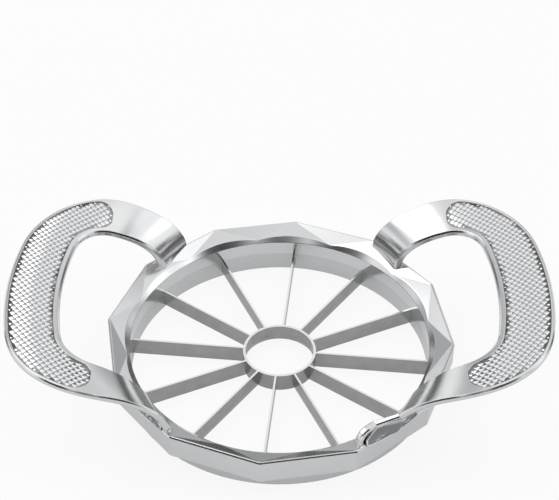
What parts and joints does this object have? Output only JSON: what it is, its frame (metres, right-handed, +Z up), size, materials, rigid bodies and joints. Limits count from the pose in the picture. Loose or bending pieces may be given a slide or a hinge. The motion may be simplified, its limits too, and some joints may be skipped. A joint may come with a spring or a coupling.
{
  "type": "apple slicer",
  "caption": "Two-handed fruit slicer: a faceted cast ring with raised loop handles on a round skirt, and a star of thin blades meeting in a core ring.",
  "frame": {"origin": "middle of the opening, on the surface that the skirt stands on", "axes": "+Z up, opposite to the push; +X out through one handle; +Y along the short side"},
  "size_m": [0.1852, 0.1212, 0.0382],
  "materials": {
    "cast_frame": "polished bright zinc casting, with a fine knurled texture on the grips",
    "blade_steel": "fine brushed stainless strip with bright edges"
  },
  "bodies": {
    "root": {"frame": "cast_frame", "core_ring": "blade_steel", "blade_01": "blade_steel", "blade_02": "blade_steel", "blade_03": "blade_steel", "blade_04": "blade_steel", "blade_05": "blade_steel", "blade_06": "blade_steel", "blade_07": "blade_steel", "blade_08": "blade_steel", "blade_09": "blade_steel", "blade_10": "blade_steel", "blade_11": "blade_steel", "blade_12": "blade_steel"}
  },
  "joints": []
}
